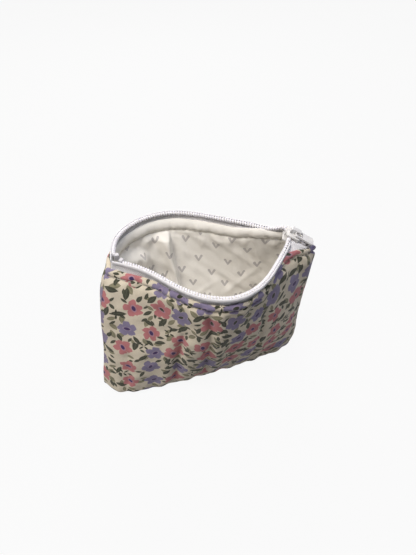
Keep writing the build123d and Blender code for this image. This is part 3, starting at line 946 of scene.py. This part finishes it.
coil_lines = {}
for side_name, side, fold in SIDES:
    line, length = coil_line(fold, side, COIL_STEPS)
    coil_lines[side] = line, length
    # The top edge follows the coil, then leaves it and runs to the corner.
    tail = np.linspace(0, 1, TAIL_STEPS + 1)[1:, None]
    corner = wall_row(fold, side, FOLD_HEIGHT, 0.0, np.array([0.0, 1.0]))[-1] + CORNER_END
    top = np.vstack([line, line[-1] * (1 - tail) + corner * tail])
    shares = run_along(top)
    shares /= shares[-1]
    # Below the fold it follows the wall, sunk under the outer cloth.
    heights = np.linspace(FOLD_HEIGHT, TAPE_BOTTOM, TAPE_LOW_ROWS)
    low_rows = np.array([wall_row(fold, side, height, 0.0, shares) for height in heights])
    across = np.repeat(shares[None, :] * POUCH_WIDTH, len(heights), 0)
    level = np.repeat(heights[:, None], len(shares), 1)
    sunk = (TAPE_SINK - np.minimum(rumple(side, across, level), 0)) * ease(level, 78.4, 76.4)
    low_rows = low_rows - out_of(low_rows[::-1], side)[::-1] * sunk[:, :, None]
    low_rows = fuller_ends(low_rows, side, across, level)
    turn = low_rows[0]
    # Beside the closed chain it lies flat in the slot between the slider's plates.
    forward, sideways = in_slider_axes(top).T[:2]
    in_chain = ease(np.abs(sideways), 4.1, 3.2) * ease(forward, 10.5, 7.6) * ease(forward, -8, -6)
    down = turn - top
    down /= np.linalg.norm(down, axis=1)[:, None]
    hang = top + down * HANG
    chain = SLIDER_MIDDLE + forward[:, None] * ALONG_CHAIN
    beside = chain + side * (LANE + 0.5) * ACROSS_CHAIN
    bend = chain + side * TAPE_BEND * ACROSS_CHAIN
    share = in_chain[:, None]
    start = hang * (1 - share) + beside * share
    middle = (hang + turn) / 2 * (1 - share) + bend * share
    # Then row by row: the folded edge, the slope down to the fold, and the low rows.
    outward = -side * np.cross(headings(top), (0.0, 0.0, 1.0))
    outward /= np.linalg.norm(outward, axis=1)[:, None]
    wrapped = (1 - ease(np.abs(sideways), 6.5, 4.5) * ease(forward, -9.5, -7))[:, None]
    rows = []
    for step, (out_by, up_by) in enumerate(FOLDED_EDGE):
        bead = top + outward * out_by + np.array((0.0, 0.0, up_by))
        rows.append(bead * wrapped + (start + (middle - start) * 0.02 * step) * (1 - wrapped))
    start = rows[-1]
    for t in np.linspace(0, 1, TAPE_SLOPE_ROWS)[1:]:
        curve = start * (1 - t) ** 2 + middle * 2 * t * (1 - t) + turn * t**2
        runs = start + (middle - start) * min(2 * t, 1) + (turn - middle) * max(2 * t - 1, 0)
        rows.append(curve * (1 - share) + (0.8 * runs + 0.2 * curve) * share)
    grid = np.array(rows + list(low_rows[1:]))
    from_coil = np.repeat(run_along(grid[:, 60])[:, None], grid.shape[1], 1)
    run = np.repeat((shares * TAPE_LENGTH)[None, :], len(grid), 0)
    # A groove runs beside the folded edge, and the slope below it wavers a little.
    out = out_of(grid[::-1], side)[::-1]
    open_part = (1 - in_chain)[None, :] * ease(np.arange(grid.shape[1]), 0, 12)[None, :]
    groove = -GROOVE_DEPTH * bump(from_coil - GROOVE_PLACE, 0.35)
    on_slope = ease(from_coil, 2.7, 3.8) * ease(from_coil, 6.8, 5.4)
    waver = SLOPE_WAVER * waves(run, from_coil, 7, 60 + side) * on_slope
    grid = grid + out * ((groove + waver) * open_part)[:, :, None]
    cut_at = run + BACK_SHIFT * (side > 0)
    cloth = sheet_mesh(side_name + "_zip_tape_cloth", grid, cut_at, from_coil, TAPE_THICKNESS, -side)
    cloth.data.materials.append(zip_tape_weave)
    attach(cloth, "pouch")
    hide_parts(side_name + "_zip_tape")

# Coils. A nylon wire wound into a flat screw, one loop for each tooth, with a sewing thread over
# every loop. The row starts behind its top stop and runs through the slider to the closed end.
COIL_PITCH = 1.27
STOP_END = 3.5
STEPS_PER_LOOP = 12
WIRE_RADIUS = 0.49
LOOP_HALF_HEIGHT = 0.56
LOOP_HALF_WIDTH = 0.62
LOOP_SQUARENESS = 0.08
LOOP_LEAN = 0.18
CORD_RADIUS = 0.5
THREAD_RADIUS = 0.17
THREAD_ASIDE = 0.74
THREAD_BELOW = 0.72
THREAD_HUMP = 0.10
NYLON_SHADE = (0.70, 0.69, 0.76, 1)
NYLON_WHITE = (0.84, 0.83, 0.87, 1)
THREAD_SHADE = (0.58, 0.55, 0.49, 1)
THREAD_PALE = (0.80, 0.77, 0.70, 1)


def tube_mesh(line, radius, round_count):
    """Points and faces of a round tube along a line, closed at both ends."""
    ahead = headings(line)
    side_way = np.zeros_like(line)
    previous = np.cross(ahead[0], (0.31, 0.21, 0.93))
    for i, heading in enumerate(ahead):
        previous = previous - heading * np.dot(previous, heading)
        previous /= np.linalg.norm(previous)
        side_way[i] = previous
    other = np.cross(ahead, side_way)
    turn = np.linspace(0, 2 * math.pi, round_count, endpoint=False)[None, :, None]
    ring = side_way[:, None] * np.cos(turn) + other[:, None] * np.sin(turn)
    points = (line[:, None] + ring * radius).reshape(-1, 3)
    faces = []
    for i in range(len(line) - 1):
        for j in range(round_count):
            here = i * round_count + j
            beside = i * round_count + (j + 1) % round_count
            faces.append((here, beside, beside + round_count, here + round_count))
    faces.append(tuple(range(round_count))[::-1])
    last = (len(line) - 1) * round_count
    faces.append(tuple(range(last, last + round_count)))
    return points, faces


def mesh_piece(name, parts):
    """One object from several lots of points and faces, given in millimetres."""
    points, faces, offset = [], [], 0
    for part_points, part_faces in parts:
        points.append(part_points)
        faces += [tuple(i + offset for i in face) for face in part_faces]
        offset += len(part_points)
    mesh = bpy.data.meshes.new(name)
    mesh.from_pydata((np.vstack(points) * MM).tolist(), [], faces)
    mesh.update()
    piece = bpy.data.objects.new(name, mesh)
    bpy.context.scene.collection.objects.link(piece)
    mesh.shade_smooth()
    return piece


nylon, tree, shader = new_finish(
    "white_nylon", Subsurface_Weight=0.15, Subsurface_Radius=(0.0006, 0.0006, 0.0007), Coat_Weight=0.15
)
streaks = node(tree, "TexNoise", Vector=object_place(tree), Scale=900, Detail=3)
mottle(tree, shader, streaks, NYLON_SHADE, NYLON_WHITE, least_roughness=0.26, spread=0.15)

thread_finish, tree, shader = new_finish("sewing_thread", Roughness=0.6)
twist = node(tree, "TexWave", Vector=object_place(tree), Scale=1400, Distortion=2.0, Detail=1)
mottle(tree, shader, twist, THREAD_SHADE, THREAD_PALE)
add_relief(tree, shader, twist.outputs["Fac"], strength=0.5, distance=0.05)

for side_name, side, fold in SIDES:
    line, length = coil_lines[side]
    at = np.linspace(0, length, len(line))
    loops = (length - STOP_END) / COIL_PITCH
    phase = np.linspace(0, loops, int(loops * STEPS_PER_LOOP) + 1)
    where = STOP_END + phase * COIL_PITCH
    middle = read_at(where, at, line)
    ahead = headings(middle)
    # The heads of the loops point up along the rim, and towards the other coil in the slider.
    forward, sideways = in_slider_axes(line).T[:2]
    share = (ease(np.abs(sideways), 4.1, 1.6) * ease(forward, -8, -6))[:, None]
    head = np.array((0.0, 0.0, 1.0)) * (1 - share) - side * ACROSS_CHAIN * share
    head = read_at(where, at, head)
    head -= ahead * (head * ahead).sum(1)[:, None]
    head /= np.linalg.norm(head, axis=1)[:, None]
    face = np.cross(ahead, head)
    angle = (phase * 2 * math.pi)[:, None]
    squared = 1 + LOOP_SQUARENESS * np.cos(4 * angle)
    wire = middle + head * np.cos(angle) * LOOP_HALF_HEIGHT * squared
    wire += face * np.sin(angle) * LOOP_HALF_WIDTH * squared
    wire += ahead * LOOP_LEAN * np.cos(angle)
    coil = mesh_piece(side_name + "_coil_loops", [tube_mesh(wire, WIRE_RADIUS, 6)])
    coil.data.materials.append(nylon)
    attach(coil, "pouch")
    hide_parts(side_name + "_coil")
    cord = mesh_piece(side_name + "_filler_cord", [tube_mesh(middle[6:-6:4], CORD_RADIUS, 8)])
    cord.data.materials.append(thread_finish)
    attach(cord, "pouch")
    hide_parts(side_name + "_coil_cord")
    # The sewing thread runs along the foot of the loops and rises over each.
    seat = middle + face * -side * THREAD_ASIDE - head * THREAD_BELOW
    hump = THREAD_HUMP * (1 + np.cos(angle))
    seat_line = seat + face * -side * hump
    seam = mesh_piece(side_name + "_coil_thread", [tube_mesh(seat_line[::2], THREAD_RADIUS, 6)])
    seam.data.materials.append(thread_finish)
    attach(seam, "pouch")

# Stitching. One row of thread holds each panel's fold to its tape, sunk in the crease; inside, the
# same row shows below the lining's roll.
STITCH_LENGTH = 2.1
STITCH_GAP = 0.65
ROW_START = 0.4
ROW_END = 0.3
STITCH_RISE = 0.34
STITCH_SINK = 0.12


def stitch_row(name, fold, side, height, outwards, rise):
    """Separate stitches along a wall, each dipping into the cloth at its ends."""
    shares = np.linspace(0.012, 0.988, 1200)
    row = wall_row(fold, side, height, outwards, shares)
    grid = np.array([wall_row(fold, side, height - 0.5, outwards, shares), row])
    out = out_of(grid, side)[1]
    across = shares * POUCH_WIDTH
    held = np.full(len(shares), height)
    moved = rumple(side, across, held) if rise > 0 else -lining_folds(side, across, held)
    row = row + out * moved[:, None]
    row = fuller_ends(row[None], side, across[None], held[None])[0]
    at = run_along(row)
    t = np.linspace(0, 1, 6)
    arch = rise * (np.sin(math.pi * t) ** 0.6 * STITCH_RISE - STITCH_SINK)
    parts = []
    start = ROW_START
    while start + STITCH_LENGTH < at[-1] - ROW_END:
        where = start + STITCH_LENGTH * t
        path = read_at(where, at, row) + read_at(where, at, out) * arch[:, None]
        parts.append(tube_mesh(path, THREAD_RADIUS, 6))
        start += STITCH_LENGTH + STITCH_GAP
    stitches = mesh_piece(name, parts)
    stitches.data.materials.append(thread_finish)
    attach(stitches, "pouch")


for side_name, side, fold in SIDES:
    stitch_row(side_name + "_topstitching", fold, side, height=75.8, outwards=0.62, rise=1)
    stitch_row(side_name + "_lining_stitching", fold, side, height=74.45, outwards=-0.95, rise=-1)

# Slider, its cap, its pull and the stops. Zinc castings in white enamel, with a spring steel lock
# under the cap. The pull's pin turns behind the cap's front arm; the stops are clamped on the zip.
ENAMEL_SHADE = (0.56, 0.55, 0.57, 1)
ENAMEL_WHITE = (0.70, 0.69, 0.70, 1)
# A painted highlight for the castings' convex edges.
ENAMEL_EDGE_HIGHLIGHT = (0.88, 0.865, 0.84, 1)
CHIPPED_GREY = (0.40, 0.39, 0.39, 1)
# Painted shade: the stops' greyer copy of the white enamel.
SHADED_ENAMEL_DARK = (0.40, 0.39, 0.42, 1)
SHADED_ENAMEL_PALE = (0.56, 0.55, 0.59, 1)
STEEL_SHADE = (0.38, 0.38, 0.39, 1)
STEEL_PALE = (0.62, 0.61, 0.60, 1)
MERGE_DISTANCE = 0.002

enamel, tree, shader = new_finish("white_enamel", Coat_Weight=0.5, Coat_Roughness=0.12)
place = object_place(tree)
peel = node(tree, "TexNoise", Vector=place, Scale=1600, Detail=2)
enamel_noise = node(tree, "TexNoise", Vector=place, Scale=420, Detail=6, Roughness=0.7)
edge = node(tree, "NewGeometry").outputs["Pointiness"]
worn_through = soft_step(tree, enamel_noise.outputs["Fac"], 0.52, 0.62)
chipped = times(tree, soft_step(tree, edge, 0.56, 0.66), worn_through)
tone = layered(tree, enamel_noise.outputs["Fac"], ENAMEL_SHADE, ENAMEL_WHITE)
# Convex edges are painted lighter: a painted highlight along the castings' rims.
rim = times(tree, soft_step(tree, edge, 0.53, 0.62), 0.6)
tone = layered(tree, rim, tone, ENAMEL_EDGE_HIGHLIGHT)
tone = layered(tree, times(tree, chipped, 0.5), tone, CHIPPED_GREY)
join(tree, tone, shader.inputs["Base Color"])
join(tree, scaled(tree, enamel_noise.outputs["Fac"], 0.2, 0.18), shader.inputs["Roughness"])
add_relief(tree, shader, peel.outputs["Fac"], strength=0.12, distance=0.05)

# The stops take a greyer copy of the white enamel: painted shade that keeps them from shining out
# bright beside the coils.
shaded_enamel, tree, shader = new_finish("shaded_enamel")
enamel_noise = node(tree, "TexNoise", Vector=object_place(tree), Scale=600, Detail=6, Roughness=0.7)
mottle(tree, shader, enamel_noise, SHADED_ENAMEL_DARK, SHADED_ENAMEL_PALE, least_roughness=0.3, spread=0.25)

spring_steel, tree, shader = new_finish("spring_steel", Metallic=1.0)
brushed = node(tree, "TexNoise", Vector=object_place(tree), Scale=1500, Detail=5)
mottle(tree, shader, brushed, STEEL_SHADE, STEEL_PALE, least_roughness=0.22, spread=0.25)


def softened(cad_name, name, body, finish, radius):
    """A casting with its edges rounded off, from the part's exact shape."""
    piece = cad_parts[cad_name].copy()
    piece.data = piece.data.copy()
    piece.name = name
    piece.parent = None
    bpy.context.scene.collection.objects.link(piece)
    piece.hide_render = False
    bpy.ops.object.select_all(action="DESELECT")
    bpy.context.view_layer.objects.active = piece
    piece.select_set(True)
    bpy.ops.object.mode_set(mode="EDIT")
    bpy.ops.mesh.select_all(action="SELECT")
    bpy.ops.mesh.remove_doubles(threshold=MERGE_DISTANCE * MM)
    bpy.ops.mesh.dissolve_limited(angle_limit=math.radians(1.5))
    bpy.ops.object.mode_set(mode="OBJECT")
    rounding = piece.modifiers.new("rounded_edges", "BEVEL")
    rounding.width = radius * MM
    rounding.segments = 3
    rounding.limit_method = "ANGLE"
    rounding.angle_limit = math.radians(30)
    bpy.ops.object.modifier_apply(modifier="rounded_edges")
    bpy.ops.object.shade_smooth_by_angle(angle=math.radians(40))
    piece.select_set(False)
    piece.data.materials.clear()
    piece.data.materials.append(finish)
    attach(piece, body)
    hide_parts(cad_name)


softened("slider_body", "slider_casting", "slider", enamel, 0.14)
softened("slider_cap", "slider_cap_casting", "slider", enamel, 0.12)
softened("lock_spring", "lock_spring_leaf", "slider", spring_steel, 0.04)
softened("pull_tab", "pull_tab_casting", "pull", enamel, 0.16)
softened("bottom_stop", "bottom_stop_clamp", "pouch", shaded_enamel, 0.12)
softened("front_top_stop", "front_top_stop_clamp", "pouch", shaded_enamel, 0.1)
softened("back_top_stop", "back_top_stop_clamp", "pouch", shaded_enamel, 0.1)
